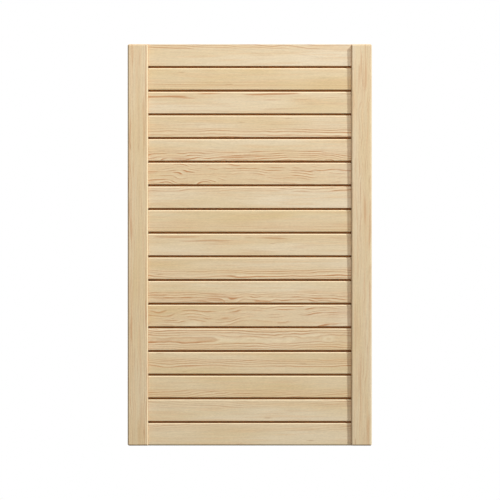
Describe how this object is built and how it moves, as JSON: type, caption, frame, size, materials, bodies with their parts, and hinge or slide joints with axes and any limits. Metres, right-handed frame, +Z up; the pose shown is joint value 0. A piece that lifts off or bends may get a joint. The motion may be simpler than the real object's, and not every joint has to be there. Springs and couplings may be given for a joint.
{
  "type": "louvered wardrobe door",
  "caption": "Pine wardrobe door with plain stiles and closed, lapped horizontal slats, hung on butt hinges hidden behind one stile.",
  "frame": {"origin": "on the bottom edge, midway across the width and midway through the depth from the front of the stiles to the back of the hinges", "axes": "+Z up along the stiles, +X to the right seen from the front, +Y to the back, so the front faces -Y"},
  "size_m": [0.394, 0.0246, 0.648],
  "materials": {
    "pine": "planed and sanded, untreated",
    "beech": "plain dowel",
    "brass": "satin",
    "steel": "drawn wire"
  },
  "bodies": {
    "hinge_frame": {"lower_hinge_carcass_wing": "brass", "lower_hinge_pin": "steel", "upper_hinge_carcass_wing": "brass", "upper_hinge_pin": "steel"},
    "leaf": {"left_stile": "pine", "right_stile": "pine", "top_rail": "pine", "bottom_rail": "pine", "slat_01": "pine", "slat_02": "pine", "slat_03": "pine", "slat_04": "pine", "slat_05": "pine", "slat_06": "pine", "slat_07": "pine", "slat_08": "pine", "slat_09": "pine", "slat_10": "pine", "slat_11": "pine", "slat_12": "pine", "slat_13": "pine", "slat_14": "pine", "slat_15": "pine", "bottom_rail_dowels": "beech", "top_rail_dowels": "beech", "lower_hinge_door_wing": "brass", "lower_hinge_door_screws": "brass", "upper_hinge_door_wing": "brass", "upper_hinge_door_screws": "brass"}
  },
  "joints": [
    {"name": "door_swing", "type": "hinge", "parent": "hinge_frame", "child": "leaf", "pos_m": [-0.1938, 0.0095, 0.324], "axis": [0, 0, -1], "range_deg": [0, 110]}
  ]
}
